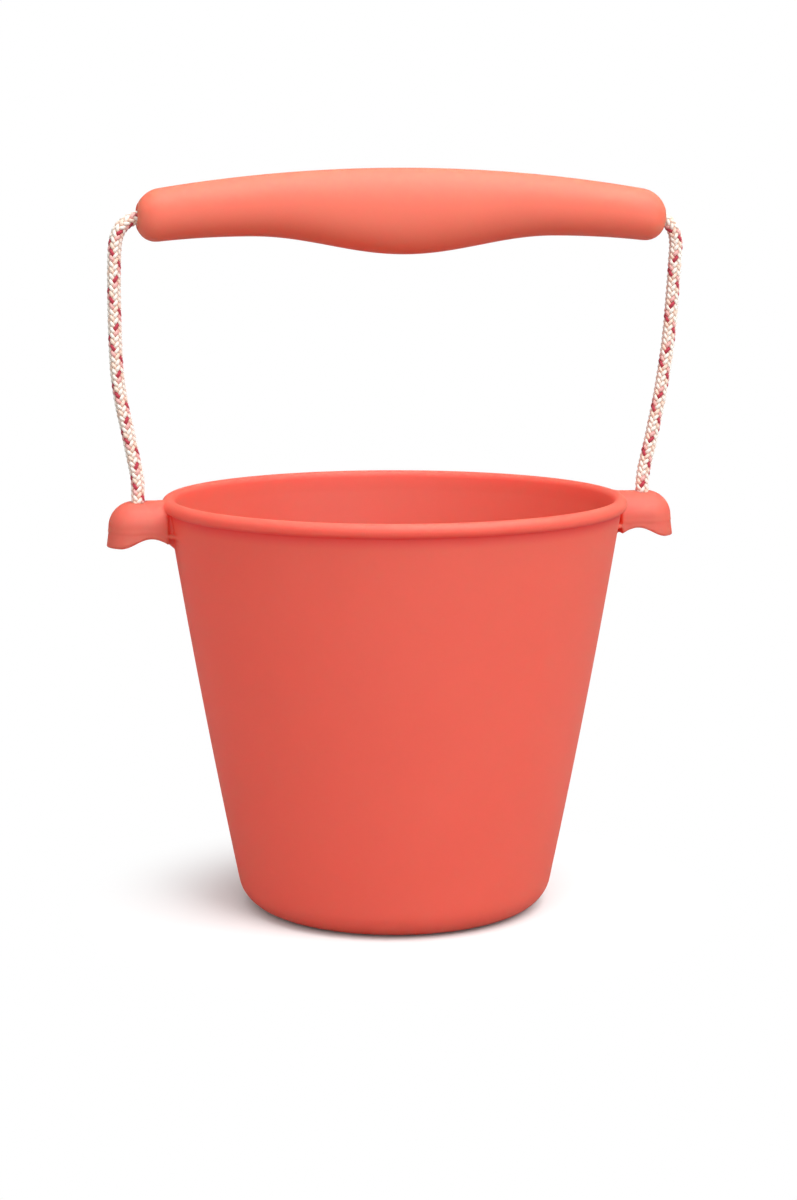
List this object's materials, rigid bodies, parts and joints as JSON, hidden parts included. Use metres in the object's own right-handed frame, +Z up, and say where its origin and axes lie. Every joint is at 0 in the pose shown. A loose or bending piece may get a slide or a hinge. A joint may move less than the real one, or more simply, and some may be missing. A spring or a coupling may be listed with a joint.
{
  "type": "sand bucket",
  "caption": "Soft tapered beach bucket with a round rim bead, hooded side lugs and a moulded grip carried on a braided cord that swings over the mouth.",
  "frame": {"origin": "middle of the flat base, on the surface that the bucket stands on", "axes": "+Z up along the bucket's axis, X through the two lugs, front towards -Y"},
  "size_m": [0.1819, 0.145, 0.2307],
  "materials": {
    "silicone_body": "matte moulded silicone, coral",
    "silicone_grip": "matte moulded silicone, coral",
    "braided_cord": "braided cotton cord, cream with crimson tracers"
  },
  "bodies": {
    "bucket": {"bucket": "silicone_body", "knot_left": "braided_cord", "knot_right": "braided_cord"},
    "cord": {"cord_left": "braided_cord", "cord_right": "braided_cord", "cord_in_grip": "braided_cord"},
    "grip": {"grip": "silicone_grip"}
  },
  "joints": [
    {"name": "handle_swing", "type": "hinge", "parent": "bucket", "child": "cord", "pos_m": [0, 0, 0.1325], "axis": [1, 0, 0], "range_deg": [-85, 85]},
    {"name": "grip_turn", "type": "hinge", "parent": "cord", "child": "grip", "pos_m": [0, 0, 0.216], "axis": [1, 0, 0], "continuous": true}
  ]
}
